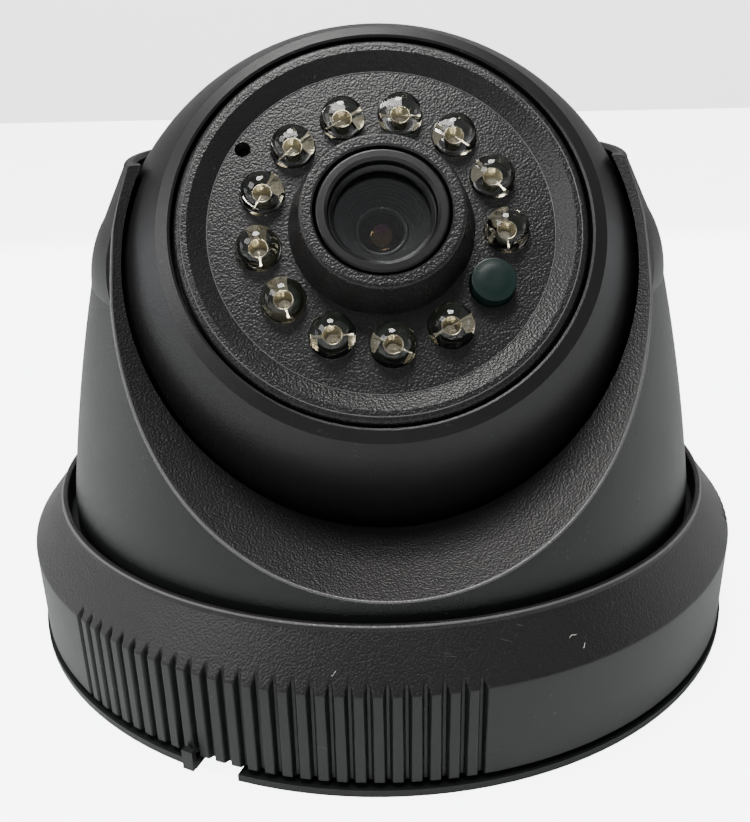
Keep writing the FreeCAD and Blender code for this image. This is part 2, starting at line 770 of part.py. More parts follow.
def make_main_board():
    half, under = dim.main_board_half, dim.main_board_under
    top = under + dim.board_thick
    holder_spots = [{"x": dim.holder_screw}, {"x": -dim.holder_screw}]
    holes = [cylinder(f"board_hole_{number}", 1.1, under - 1, top + 1, **spot)
             for number, spot in enumerate(main_board_spots())]
    holes += [cylinder(f"board_holder_hole_{number}", 0.9, under - 1, top + 1, **spot)
              for number, spot in enumerate(holder_spots)]
    keep(cut("board_cut", block("board", half * 2, half * 2, under, top), holes), "main_board", tilted=True)
    sleeves = []
    for number, spot in enumerate(main_board_spots()):
        sleeve = cylinder(f"sleeve_{number}", 1.9, dim.web_top, under, **spot)
        sleeves.append(cut(f"standoff_{number}", sleeve, [
            cylinder(f"sleeve_bore_{number}", 1.1, dim.web_top - 1, under + 1, **spot)]))
    keep(group("standoff_set", sleeves), "standoffs", tilted=True)
    keep(group("board_screw_set", [
        screw(f"board_screw_{number}", 1.8, 1.2, 1.0, 5.2, face=top, upward=False, **spot)
        for number, spot in enumerate(main_board_spots())]), "main_board_screws", tilted=True)
    keep(block("sensor", 8.0, 7.0, top, top + 1.0), "image_sensor", tilted=True)
    keep(block("processor", 9.0, 9.0, under - 1.0, under), "processor_chip", tilted=True)

    lamp_under = dim.lamp_seat - dim.board_thick
    socket_height = 2.2
    sockets = [block("main_socket", 3.0, 7.0, top, top + socket_height, x=-13.0),
               block("lamp_socket", 3.0, 7.0, lamp_under - socket_height, lamp_under, x=-13.0)]
    keep(group("socket_set", sockets), "board_sockets", tilted=True)
    keep(block("ribbon", 0.8, 6.0, top + socket_height, lamp_under - socket_height, x=-13.0),
         "board_cable", tilted=True)

    holder_base = block("holder_base", 22.0, 14.0, top, dim.holder_floor + 0.6)
    holder_tube = cylinder("holder_tube", 7.7, dim.holder_floor, dim.holder_top)
    hollow = [block("holder_hollow", 9.0, 8.6, top - 1, dim.holder_floor),
              cylinder("holder_bore_tool", dim.holder_bore, dim.holder_floor, dim.holder_top + 1)]
    hollow += [cylinder(f"holder_hole_{number}", 0.85, top - 1, dim.holder_floor, **spot)
               for number, spot in enumerate(holder_spots)]
    keep(cut("holder_cut", join("holder_blank", [holder_base, holder_tube]), hollow),
         "lens_holder", tilted=True)
    keep(group("holder_screw_set", [
        screw(f"holder_screw_{number}", 1.6, 1.0, 0.8, dim.board_thick + 1.6, face=under, y=0, **spot)
        for number, spot in enumerate(holder_spots)]), "lens_holder_screws", tilted=True)
    keep(block("filter", 8.4, 8.0, dim.holder_floor - 0.6, dim.holder_floor - 0.1),
         "ir_filter", tilted=True)


# ---------------------------------------------------------------- lens


def make_lens():
    thread, head, bore = dim.thread_radius, dim.head_radius, dim.glass_radius + 0.1
    ledge = dim.glass_top - 1.6
    keep(tube("nut", dim.holder_bore, 7.9, dim.holder_top + 0.8, dim.holder_top + 2.6),
         "lens_lock_nut", tilted=True)
    keep(lathe("barrel", [
        (thread - 1.35, dim.thread_bottom),
        (thread, dim.thread_bottom),
        (thread, dim.head_bottom),
        (head, dim.head_bottom),
        (head, dim.head_top - 0.3),
        (head - 0.3, dim.head_top, 0.3),
        (bore + 0.3, dim.head_top),
        (bore, dim.head_top - 0.3),
        (bore, ledge),
        (bore - 0.35, ledge),
        (bore - 0.35, dim.head_bottom + 0.9),
        (thread - 1.35, dim.head_bottom + 0.9),
    ]), "lens_barrel", tilted=True)
    edge = dim.glass_top - 0.7
    keep(lathe("front_glass", [
        (ZERO, ledge),
        (dim.glass_radius, ledge),
        (dim.glass_radius, edge),
        (dim.glass_radius - 0.3, edge + 0.3),
        (0.4, dim.glass_top, 40.0),
        (ZERO, dim.glass_top),
    ]), "lens_front_glass", tilted=True)
    iris, low = dim.iris_radius, dim.head_bottom + 1.1
    baffle_radius = bore - 0.45
    keep(lathe("baffle", [
        (iris + 0.05, low),
        (baffle_radius, low),
        (baffle_radius, ledge - 0.1),
        (baffle_radius - 0.25, ledge - 0.1),
        (iris + 0.05, low + 1.0),
    ]), "lens_baffle", tilted=True)
    keep(tube("iris_ring", iris - 0.5, iris, low + 0.5, low + 0.95), "lens_inner_ring", tilted=True)
    pupil = iris - 0.55
    keep(lathe("inner_glass", [
        (ZERO, low),
        (pupil, low),
        (pupil, low + 0.5),
        (0.2, low + 1.0, 5.0),
        (ZERO, low + 1.0),
    ]), "lens_inner_glass", tilted=True)
    spacer, rear = thread - 1.4, dim.thread_bottom + 0.4
    keep(lathe("rear_glass", [
        (ZERO, rear),
        (0.3, rear),
        (spacer, rear + 0.7, 18.0),
        (spacer, rear + 2.0),
        (ZERO, rear + 2.0),
    ]), "lens_rear_element", tilted=True)
    keep(tube("spacer", spacer - 1.0, spacer, rear + 2.0, low - 0.3), "lens_spacer", tilted=True)


# ---------------------------------------------------------------- build, check and write

make_base_plate()
make_lock_ring()
make_turret_shell()
make_ball_seat()
make_ball_rear()
make_ball_front()
make_face_plate()
make_lamps()
make_lamp_board()
make_main_board()
make_lens()
doc.recompute()

for thing in doc.Objects:
    if "Invalid" in thing.State or "Error" in thing.State:
        raise RuntimeError(f"{thing.Name} failed: {thing.State}")

for node in nodes:
    shape = node.Shape
    if shape.isNull() or not shape.isValid() or not shape.Solids:
        raise RuntimeError(f"{node.Label} has no valid solid")
    shape.exportStep(f"parts/{node.Label}.step")
    print(f"{node.Label:20s} {len(shape.Solids):3d} solids {shape.Volume:10.1f} mm3")
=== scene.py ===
import math

import bpy
import numpy as np
from mathutils import Matrix, Vector


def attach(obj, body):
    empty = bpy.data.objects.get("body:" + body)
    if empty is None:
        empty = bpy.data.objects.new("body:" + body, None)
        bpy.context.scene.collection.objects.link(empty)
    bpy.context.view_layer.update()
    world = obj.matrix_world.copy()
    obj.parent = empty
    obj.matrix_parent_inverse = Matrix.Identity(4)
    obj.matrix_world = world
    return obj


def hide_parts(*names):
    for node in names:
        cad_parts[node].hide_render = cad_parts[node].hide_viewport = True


# Looks for a ceiling dome camera: a ball with lens and lamps, in a turret on a ribbed lock ring.
# The part's sizes are in millimetres until a mesh is written. The stage, the lights and the camera
# are in metres.

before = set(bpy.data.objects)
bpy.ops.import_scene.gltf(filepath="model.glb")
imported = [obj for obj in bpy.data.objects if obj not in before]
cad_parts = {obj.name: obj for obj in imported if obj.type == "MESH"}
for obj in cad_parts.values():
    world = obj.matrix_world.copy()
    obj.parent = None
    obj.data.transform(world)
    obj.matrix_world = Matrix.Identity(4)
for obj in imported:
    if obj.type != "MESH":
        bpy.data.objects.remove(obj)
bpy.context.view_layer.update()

MM = 0.001
BALL_HEIGHT = 39.0
LENS_ELEVATION = 35.5
LAMP_CIRCLE = 13.6
LAMP_TURN = -3.8
LAMP_STEP = 360 / 13
LAMP_COUNT = 12
LAMP_SEAT = 17.7
LAMP_RADIUS = 2.45
LAMP_TIP = 26.0
CAP_TOP = 24.9

WALL_RADIUS = 47.0
WALL_FOOT_RADIUS = 46.9
RING_BOTTOM = 1.45
RING_EDGE = 12.2
CONE_TOP_RADIUS = 43.15
CONE_TOP = 17.0
LIP_TOP = 17.6
LIP_INNER = 42.3
RING_INNER = 45.1
GROOVE_START = -137.8
GROOVE_PITCH = 2.32
GROOVE_COUNT = 26
GROOVE_DEPTH = 0.75
GROOVE_HALF_FLOOR = 0.17
GROOVE_FLANK = 0.30
RING_LAND = 14.5
RING_LAND_RADIUS = 43.35

# the turret wall's corners, from its foot past the shoulder to the rim
TURRET_HEIGHTS = (17.8, 44.5, 52.0, 58.5)
TURRET_RADII = (41.3, 36.0, 33.6, 30.7)
WALL_BULGE = 0.38

SCOOP_ELEVATION = 46.0
SCOOP_POINT = 18.7
SCOOP_AXIS_HEIGHT = 12.3
SCOOP_HALF_ANGLE = 59.4


# ---------------------------------------------------------------- surfaces


def tilt(points):
    """Turn points drawn about the ball's centre, lens along +Z, to the ball's real place."""
    angle = math.radians(90 - LENS_ELEVATION)
    turn = np.array([[1, 0, 0],
                     [0, math.cos(angle), -math.sin(angle)],
                     [0, math.sin(angle), math.cos(angle)]])
    return points @ turn.T + np.array([0, 0, BALL_HEIGHT])


def grid_faces(rows, columns, close_rows, close_columns):
    """Quads of a grid: each cell joins row i, i+1 and column j, j+1, wrapping where it is closed."""
    row = np.arange(rows if close_rows else rows - 1)[:, None]
    column = np.arange(columns if close_columns else columns - 1)[None, :]
    next_row, next_column = (row + 1) % rows, (column + 1) % columns
    corners = [row * columns + column, row * columns + next_column,
               next_row * columns + next_column, next_row * columns + column]
    return np.stack(corners, axis=-1).reshape(-1, 4)


def turned(profile, count=96, centre=(0, 0)):
    """Revolve a profile of (radius, height): x = r cos t, y = r sin t, z = h.

    The profile runs anticlockwise, up the outside. It is a closed loop, or it starts and ends on
    the axis, where a ring of triangles closes the pole.
    """
    profile = np.asarray(profile, dtype=float)
    start_pole, end_pole = profile[0, 0] < 1e-6, profile[-1, 0] < 1e-6
    rings = profile[int(start_pole):len(profile) - int(end_pole)]
    t = np.linspace(0, 2 * np.pi, count, endpoint=False)
    radius, height = rings[:, :1], rings[:, 1:]
    points = np.stack([radius * np.cos(t) + centre[0], radius * np.sin(t) + centre[1],
                       height + 0 * t], axis=-1).reshape(-1, 3)
    closed = not (start_pole or end_pole)
    faces = grid_faces(len(rings), count, closed, True).tolist()
    column = np.arange(count)
    following = (column + 1) % count
    if start_pole:
        pole = len(points)
        points = np.vstack([points, [centre[0], centre[1], profile[0, 1]]])
        faces += np.stack([np.full(count, pole), following, column], axis=-1).tolist()
    if end_pole:
        pole = len(points)
        points = np.vstack([points, [centre[0], centre[1], profile[-1, 1]]])
        last = (len(rings) - 1) * count
        faces += np.stack([last + column, last + following, np.full(count, pole)], axis=-1).tolist()
    return points, faces


def rounded(corners, steps=5):
    """Round each (x, y, radius) corner: the arc runs between the two tangent points, radius / tan(half
    the corner's angle) from it, as a quadratic curve pulled to the corner."""
    corners = [tuple(corner) + (0,) * (3 - len(corner)) for corner in corners]
    path = []
    for index, (x, y, radius) in enumerate(corners):
        here = np.array([x, y], dtype=float)
        before = np.array(corners[index - 1][:2], dtype=float) - here
        after = np.array(corners[(index + 1) % len(corners)][:2], dtype=float) - here
        if radius == 0:
            path.append(here[None])
            continue
        before_length, after_length = np.linalg.norm(before), np.linalg.norm(after)
        before, after = before / before_length, after / after_length
        half = math.acos(max(-1.0, min(1.0, float(before @ after)))) / 2
        reach = min(radius / math.tan(half), before_length * 0.49, after_length * 0.49)
        t = np.linspace(0, 1, steps)[:, None]
        start, end = here + before * reach, here + after * reach
        path.append((1 - t) ** 2 * start + 2 * t * (1 - t) * here + t ** 2 * end)
    return np.vstack(path)


def swept(path, radius, sides=8, closed=False):
    """A round tube along points: each ring is centre + radius (cos a N + sin a B), in a frame across
    the path's tangent. Radius may change along the path."""
    path = np.asarray(path, dtype=float)
    if closed:
        tangent = np.roll(path, -1, 0) - np.roll(path, 1, 0)
    else:
        tangent = np.gradient(path, axis=0)
    tangent /= np.linalg.norm(tangent, axis=1, keepdims=True)
    up = np.where(np.abs(tangent[:, 2:]) > 0.9, np.array([[1.0, 0, 0]]), np.array([[0, 0, 1.0]]))
    side = np.cross(tangent, up)
    side /= np.linalg.norm(side, axis=1, keepdims=True)
    over = np.cross(side, tangent)
    angle = np.linspace(0, 2 * np.pi, sides, endpoint=False)
    wide = np.broadcast_to(np.asarray(radius, dtype=float), (len(path),))[:, None, None]
    points = path[:, None] + wide * (np.cos(angle)[None, :, None] * side[:, None]
                                     + np.sin(angle)[None, :, None] * over[:, None])
    faces = grid_faces(len(path), sides, closed, True).tolist()
    if not closed:
        faces.append(list(range(sides))[::-1])
        faces.append([(len(path) - 1) * sides + number for number in range(sides)])
    return points.reshape(-1, 3), faces


def slab(outline_points, low, high):
    """A flat-sided plate: an outline, anticlockwise from above, carried from low to high with both
    ends closed; its edges are drawn in by a fifth of the thickness."""
    outline_points = np.asarray(outline_points, dtype=float)
    centre = outline_points.mean(0)
    edge = 0.2 * (high - low)
    drawn = outline_points - centre
    reach = np.linalg.norm(drawn, axis=1, keepdims=True)
    inset = centre + drawn * (1 - edge / np.maximum(reach, 1e-6))
    rows = [(inset, low), (outline_points, low + edge), (outline_points, high - edge), (inset, high)]
    count = len(outline_points)
    points = np.vstack([np.column_stack([row, np.full(count, height)]) for row, height in rows])
    faces = grid_faces(len(rows), count, False, True).tolist()
    faces.append(list(range(count))[::-1])
    faces.append([(len(rows) - 1) * count + number for number in range(count)])
    return points, faces


def slab_straight(loop, low, high):
    """An outline carried straight up between two heights, with both ends closed."""
    count = len(loop)
    points = np.vstack([np.column_stack([loop, np.full(count, height)]) for height in (low, high)])
    half = count // 2
    across = np.arange(half - 1)
    over = 2 * count - 1 - across
    top = np.stack([count + across, count + across + 1, over - 1, over], axis=-1)
    bottom = np.stack([across, count - 1 - across, count - 2 - across, across + 1], axis=-1)
    return points, grid_faces(2, count, False, True).tolist() + top.tolist() + bottom.tolist()


def gather(parts):
    """Put several (points, faces) shapes into one."""
    points, faces, start = [], [], 0
    for shape_points, shape_faces in parts:
        points.append(shape_points)
        faces += [[start + number for number in face] for face in shape_faces]
        start += len(shape_points)
    return np.vstack(points), faces


def piece(name, shape, body, material, tilted=False, replaces=(), sharp=35):
    """Write a shape as an object that rides on a body."""
    points, faces = shape
    points = tilt(points) if tilted else points
    mesh = bpy.data.meshes.new(name)
    mesh.from_pydata((points * MM).tolist(), [], faces)
    mesh.validate()
    mesh.shade_smooth()
    mesh.set_sharp_from_angle(angle=math.radians(sharp))
    mesh.materials.append(material)
    thing = bpy.data.objects.new(name, mesh)
    bpy.context.collection.objects.link(thing)
    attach(thing, body)
    if replaces:
        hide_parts(*replaces)
    return thing


# ---------------------------------------------------------------- node helpers


def put(tree, kind, values=None, **settings):
    """Add a node; a value that is a socket is linked, any other is set."""
    node = tree.nodes.new(kind)
    for name, value in settings.items():
        setattr(node, name, value)
    for key, value in (values or {}).items():
        if isinstance(value, bpy.types.NodeSocket):
            tree.links.new(value, node.inputs[key])
        else:
            node.inputs[key].default_value = value
    return node


def maths(tree, operation, first, second=0.0, third=0.0, clamp=False):
    """One Math node's result."""
    return put(tree, "ShaderNodeMath", {0: first, 1: second, 2: third},
               operation=operation, use_clamp=clamp).outputs[0]


def stretch(tree, value, low, high, new_low=0.0, new_high=1.0, smooth=False):
    """Carry a value from one range to another, clamped at both ends."""
    kind = "SMOOTHSTEP" if smooth else "LINEAR"
    return put(tree, "ShaderNodeMapRange", {0: value, 1: low, 2: high, 3: new_low, 4: new_high},
               interpolation_type=kind).outputs[0]


def blend_colour(tree, amount, first, second):
    """Mix two colours: all first at 0, all second at 1."""
    node = put(tree, "ShaderNodeMix", data_type="RGBA")
    for index, value in ((0, amount), (6, first), (7, second)):
        if isinstance(value, bpy.types.NodeSocket):
            tree.links.new(value, node.inputs[index])
        else:
            node.inputs[index].default_value = (*value, 1) if index else value
    return node.outputs[2]


def noise(tree, vector, scale, detail=2.0, roughness=0.5):
    """Noise from 0 to 1; scale is cells for each metre."""
    return put(tree, "ShaderNodeTexNoise",
               {"Vector": vector, "Scale": scale, "Detail": detail, "Roughness": roughness}).outputs[0]


def new_group(name, inputs, outputs):
    """A shader node group with named sockets; gives the tree, its input node and its output node."""
    tree = bpy.data.node_groups.new(name, "ShaderNodeTree")
    for label, kind in inputs:
        tree.interface.new_socket(name=label, in_out="INPUT", socket_type=f"NodeSocket{kind}")
    for label, kind in outputs:
        tree.interface.new_socket(name=label, in_out="OUTPUT", socket_type=f"NodeSocket{kind}")
    return tree, tree.nodes.new("NodeGroupInput"), tree.nodes.new("NodeGroupOutput")


def make_moulded_grain():
    """Spark-eroded mould texture: rounded bumps of one cell size with finer pits on top. The tallest bumps
    also give a mask where glints are painted on as lighter colour.
    """
    tree, given, result = new_group("moulded_grain", [("Vector", "Vector"), ("Scale", "Float")],
                                    [("Height", "Float"), ("PaintedGlint", "Float")])
    vector, scale = given.outputs["Vector"], given.outputs["Scale"]
    cells = put(tree, "ShaderNodeTexVoronoi", {"Vector": vector, "Scale": scale},
                feature="SMOOTH_F1").outputs["Distance"]
    bumps = stretch(tree, cells, 0.1, 0.75, 1.0, 0.0, smooth=True)
    soft = noise(tree, vector, maths(tree, "MULTIPLY", scale, 0.45), 2.0)
    fine = noise(tree, vector, maths(tree, "MULTIPLY", scale, 2.6), 1.0)
    height = maths(tree, "MULTIPLY_ADD", fine, 0.5, maths(tree, "MULTIPLY_ADD", soft, 0.25, bumps))
    tree.links.new(height, result.inputs["Height"])
    # the tallest bumps, as a mask for painted glints: lighter colour standing in for sparkles of light
    tree.links.new(stretch(tree, height, 1.18, 1.4), result.inputs["PaintedGlint"])
    return tree


def make_handling_marks():
    """Dust specks, hair scratches and a slow unevenness, as on plastic that has been handled."""
    tree, given, result = new_group("handling_marks", [("Vector", "Vector")],
                                    [("Dust", "Float"), ("Scratch", "Float"), ("Mottle", "Float")])
    vector = given.outputs["Vector"]
    speck = put(tree, "ShaderNodeTexVoronoi", {"Vector": vector, "Scale": 700.0},
                feature="F1")
    near = stretch(tree, speck.outputs["Distance"], 0.02, 0.07, 1.0, 0.0)
    chance = put(tree, "ShaderNodeSeparateColor", {0: speck.outputs["Color"]}).outputs[0]
    kept = stretch(tree, chance, 0.90, 0.94)
    tree.links.new(maths(tree, "MULTIPLY", near, kept), result.inputs["Dust"])
    drawn = put(tree, "ShaderNodeMapping", {"Vector": vector, "Rotation": (0.5, 0.3, 0.9),
                                            "Scale": (260.0, 9000.0, 2500.0)}).outputs[0]
    lines = noise(tree, drawn, 1.0, 0.0)
    place = noise(tree, vector, 160.0, 1.0)
    scratch = maths(tree, "MULTIPLY", stretch(tree, lines, 0.76, 0.80), stretch(tree, place, 0.56, 0.62))
    tree.links.new(scratch, result.inputs["Scratch"])
    tree.links.new(noise(tree, vector, 55.0, 3.0, 0.6), result.inputs["Mottle"])
    return tree


GRAIN = make_moulded_grain()
MARKS = make_handling_marks()


def start_material(name):
    """A new material with its shader, its tree and the object's coordinates."""
    material = bpy.data.materials.new(name)
    material.use_nodes = True
    tree = material.node_tree
    return material, tree, tree.nodes["Principled BSDF"], put(tree, "ShaderNodeTexCoord").outputs["Object"]


def fill_group(tree, group, values):
    """Use a node group with its inputs set or linked."""
    node = tree.nodes.new("ShaderNodeGroup")
    node.node_tree = group
    for key, value in values.items():
        if isinstance(value, bpy.types.NodeSocket):
            tree.links.new(value, node.inputs[key])
        else:
            node.inputs[key].default_value = value
    return node


def finish_shader(tree, shader, colour, roughness, height, bump_distance):
    """Link colour, roughness and bump to the shader."""
    tree.links.new(colour, shader.inputs["Base Color"])
    tree.links.new(roughness, shader.inputs["Roughness"])
    bump = put(tree, "ShaderNodeBump", {"Height": height, "Distance": bump_distance, "Strength": 1.0})
    tree.links.new(bump.outputs[0], shader.inputs["Normal"])


DUST_COLOUR = (0.30, 0.29, 0.27)


def plastic(name, colour, worn, roughness, grain_size, grain_height, painted_glint=0.0, dust=0.14, mask=None,
            rough_finish=None):
    """Moulded plastic: grain of one size in millimetres, colour drifting to a worn tone, dust on top.

    mask, where given, is a function of the tree and coordinates that is 1 on the finer finish and 0
    on rough_finish, which has its own colour, roughness, grain size, grain height and painted glint strength.
    """
    material, tree, shader, place = start_material(name)
    marks = fill_group(tree, MARKS, {"Vector": place})

    def finish(base, tone, rough, size, tall, glint_paint):
        """One finish's colour with its painted glints, roughness and bump height."""
        grain = fill_group(tree, GRAIN, {"Vector": place, "Scale": 1 / (size * MM)})
        drift = stretch(tree, marks.outputs["Mottle"], 0.3, 0.7)
        drifted = blend_colour(tree, drift, base, tone)
        # painted glints: the grain's tallest peaks lightened towards grey, standing in for sparkles of light
        with_painted_glints = blend_colour(tree, maths(tree, "MULTIPLY", grain.outputs["PaintedGlint"], glint_paint),
                           drifted, (0.16, 0.155, 0.15))
        uneven = maths(tree, "MULTIPLY_ADD", marks.outputs["Mottle"], 0.12, rough - 0.06)
        return with_painted_glints, uneven, maths(tree, "MULTIPLY", grain.outputs["Height"], tall)

    tint, rough, height = finish(colour, worn, roughness, grain_size, grain_height, painted_glint)
    if mask:
        share = mask(tree, place)
        other_tint, other_rough, other_height = finish(*rough_finish)
        tint = blend_colour(tree, share, other_tint, tint)
        rough = put(tree, "ShaderNodeMix", {0: share, 2: other_rough, 3: rough}).outputs[0]
        height = put(tree, "ShaderNodeMix", {0: share, 2: other_height, 3: height}).outputs[0]
    spotted = maths(tree, "MULTIPLY", maths(tree, "MAXIMUM", marks.outputs["Dust"],
                                            marks.outputs["Scratch"]), dust)
    tint = blend_colour(tree, spotted, tint, DUST_COLOUR)
    rough = maths(tree, "MULTIPLY_ADD", spotted, 0.3, rough, clamp=True)
    finish_shader(tree, shader, tint, rough, height, MM)
    return material


def radius_and_height(tree, place):
    """Distance from the pan axis, and height, in millimetres."""
    split = put(tree, "ShaderNodeSeparateXYZ", {0: place})
    x, y, z = (maths(tree, "MULTIPLY", split.outputs[axis], 1000.0) for axis in range(3))
    return maths(tree, "SQRT", maths(tree, "MULTIPLY_ADD", x, x, maths(tree, "MULTIPLY", y, y))), z


def on_turret_wall(tree, place):
    """1 on the turret's smooth outer wall, 0 on the scoop and inside: the wall is the least of
    its foot's radius and three straight tapers, and the scoop lies inside it."""
    radius, height = radius_and_height(tree, place)
    wall = TURRET_RADII[0] - 0.05
    for low, high, low_radius, high_radius in zip(TURRET_HEIGHTS, TURRET_HEIGHTS[1:],
                                                  TURRET_RADII, TURRET_RADII[1:]):
        slope = (high_radius - low_radius) / (high - low)
        wall = maths(tree, "MINIMUM", wall,
                     maths(tree, "MULTIPLY_ADD", height, slope, low_radius - slope * low))
    return stretch(tree, maths(tree, "SUBTRACT", radius, wall), -0.12, -0.03)


def on_ring_wall(tree, place):
    """1 on the lock ring's upright wall, 0 on its cone and lip."""
    height = radius_and_height(tree, place)[1]
    return stretch(tree, height, RING_EDGE - 0.25, RING_EDGE + 0.1, 1.0, 0.0)


def metal(name, colour, worn, roughness):
    """Machined or plated metal: fine streaks across one direction, with a slow change of tone."""
    streaks_per_metre, streak_height = 2200.0, 0.00002
    material, tree, shader, place = start_material(name)
    drawn = put(tree, "ShaderNodeMapping", {"Vector": place, "Scale": (1.0, 1.0, 6.0)}).outputs[0]
    lines = noise(tree, drawn, streaks_per_metre, 1.0)
    marks = fill_group(tree, MARKS, {"Vector": place})
    tint = blend_colour(tree, stretch(tree, marks.outputs["Mottle"], 0.35, 0.65), colour, worn)
    rough = maths(tree, "MULTIPLY_ADD", lines, 0.15, roughness - 0.07)
    finish_shader(tree, shader, tint, rough, lines, streak_height)
    shader.inputs["Metallic"].default_value = 1.0
    return material


def glass(name, colour, ior, rough):
    """Clear moulded epoxy or polished glass with a faint haze."""
    material, tree, shader, place = start_material(name)
    haze = noise(tree, place, 900.0, 2.0)
    tint = blend_colour(tree, haze, colour, tuple(channel * 0.97 for channel in colour))
    roughness = stretch(tree, haze, 0.35, 0.75, rough, rough + 0.035)
    tree.links.new(tint, shader.inputs["Base Color"])
    tree.links.new(roughness, shader.inputs["Roughness"])
    shader.inputs["Transmission Weight"].default_value = 1.0
    shader.inputs["IOR"].default_value = ior
    return material


def coated(name, colour, sheen_colour, roughness, coat):
    """A dark optical surface whose reflections take the colour of its coating."""
    material, tree, shader, place = start_material(name)
    haze = noise(tree, place, 300.0, 1.0)
    tint = blend_colour(tree, haze, colour, tuple(channel * 1.4 for channel in colour))
    tree.links.new(tint, shader.inputs["Base Color"])
    tree.links.new(stretch(tree, haze, 0.3, 0.7, roughness, roughness + 0.02), shader.inputs["Roughness"])
    shader.inputs["Specular Tint"].default_value = (*sheen_colour, 1)
    shader.inputs["IOR"].default_value = 1.9
    shader.inputs["Coat Weight"].default_value = coat
    shader.inputs["Coat Tint"].default_value = (*sheen_colour, 1)
    return material


WALL_TONE, WALL_WORN = (0.0085, 0.0098, 0.0096), (0.0115, 0.0128, 0.0125)
CONE_TONE, CONE_WORN = (0.0078, 0.0066, 0.0070), (0.0105, 0.0090, 0.0094)
# colour, worn colour, roughness, grain size and height in millimetres, and painted glint strength
ROUGH_BLACK = (CONE_TONE, CONE_WORN, 0.42, 0.22, 0.026, 0.07)

FINISH = {
    "wall": plastic("satin_wall", WALL_TONE, WALL_WORN, 0.42, 0.16, 0.012),
    "ball": plastic("satin_ball", (0.0070, 0.0068, 0.0072), (0.0095, 0.0092, 0.0096), 0.38, 0.16, 0.010),
    "turret": plastic("turret_finish", WALL_TONE, WALL_WORN, 0.42, 0.16, 0.012,
                      mask=on_turret_wall, rough_finish=ROUGH_BLACK),
    "ring": plastic("lock_ring_finish", WALL_TONE, WALL_WORN, 0.42, 0.16, 0.012,
                    mask=on_ring_wall, rough_finish=ROUGH_BLACK),
    # the face plate's grain gets painted glints: lighter specks standing in for sparkles of light
    "face": plastic("face_plate_grain", (0.0085, 0.0078, 0.0082), (0.0120, 0.0112, 0.0116),
                    0.36, 0.23, 0.032, painted_glint=0.10, dust=0.25),
    "inner": plastic("plain_inner_black", (0.012, 0.012, 0.0125), (0.018, 0.018, 0.018), 0.5, 0.3, 0.02),
    # light grey with strong painted glints: a painted highlight for the thin beads along rounded edges
    "edge_highlight": plastic("painted_edge_highlight", (0.10, 0.10, 0.10), (0.15, 0.15, 0.148), 0.24, 0.25, 0.012,
                      painted_glint=0.6),
    "rubber": plastic("black_rubber", (0.010, 0.010, 0.010), (0.018, 0.017, 0.016), 0.7, 0.4, 0.02),
    "cap": plastic("green_filter_cap", (0.0010, 0.0130, 0.0105), (0.0018, 0.0170, 0.0140), 0.34, 0.5, 0.004,
                   dust=0.6),
    "board": plastic("solder_mask", (0.040, 0.066, 0.040), (0.055, 0.082, 0.052), 0.30, 0.9, 0.01),
    "chip": plastic("chip_epoxy", (0.015, 0.015, 0.016), (0.024, 0.024, 0.024), 0.55, 0.2, 0.02),
    "nylon": plastic("nylon_socket", (0.62, 0.59, 0.50), (0.70, 0.67, 0.58), 0.45, 0.4, 0.01),
    "ribbon": plastic("ribbon_cable", (0.50, 0.50, 0.49), (0.58, 0.58, 0.56), 0.4, 0.5, 0.01),
    "lint": plastic("lint", (0.55, 0.54, 0.50), (0.65, 0.64, 0.60), 0.8, 0.1, 0.02),
    "anodised": plastic("anodised_black", (0.0060, 0.0060, 0.0064), (0.0095, 0.0095, 0.0100),
                        0.33, 0.12, 0.006),
    "light_trap": plastic("light_trap", (0.0045, 0.0060, 0.0058), (0.0070, 0.0088, 0.0084),
                          0.55, 0.12, 0.002),
    "grey_ring": plastic("grey_iris_ring", (0.055, 0.058, 0.058), (0.080, 0.083, 0.083), 0.34, 0.2, 0.006),
    "steel": metal("zinc_plated_steel", (0.50, 0.50, 0.49), (0.60, 0.60, 0.58), 0.32),
    "silver": metal("silvered_lead_frame", (0.62, 0.57, 0.42), (0.72, 0.67, 0.52), 0.22),
    "can": metal("microphone_can", (0.62, 0.62, 0.62), (0.72, 0.72, 0.71), 0.30),
    "brass": metal("turned_brass", (0.66, 0.47, 0.18), (0.76, 0.58, 0.27), 0.28),
    "epoxy": glass("clear_epoxy", (0.985, 0.975, 0.94), 1.50, 0.015),
    "lens": glass("lens_front_glass", (0.93, 0.96, 0.95), 1.52, 0.01),
    "rear_lens": glass("rear_glass", (0.90, 0.93, 0.95), 1.6, 0.01),
    "filter": glass("filter_glass", (0.55, 0.82, 0.86), 1.5, 0.01),
    "amber_eye": coated("amber_coated_glass", (0.0016, 0.0016, 0.0018), (1.0, 0.62, 0.25), 0.05, 0.2),
    "plum_eye": coated("plum_coated_glass", (0.0030, 0.0008, 0.0020), (0.85, 0.12, 0.50), 0.06, 0.6),
    "sensor": coated("sensor_glass", (0.012, 0.012, 0.018), (0.7, 0.8, 1.0), 0.08, 0.5),
}

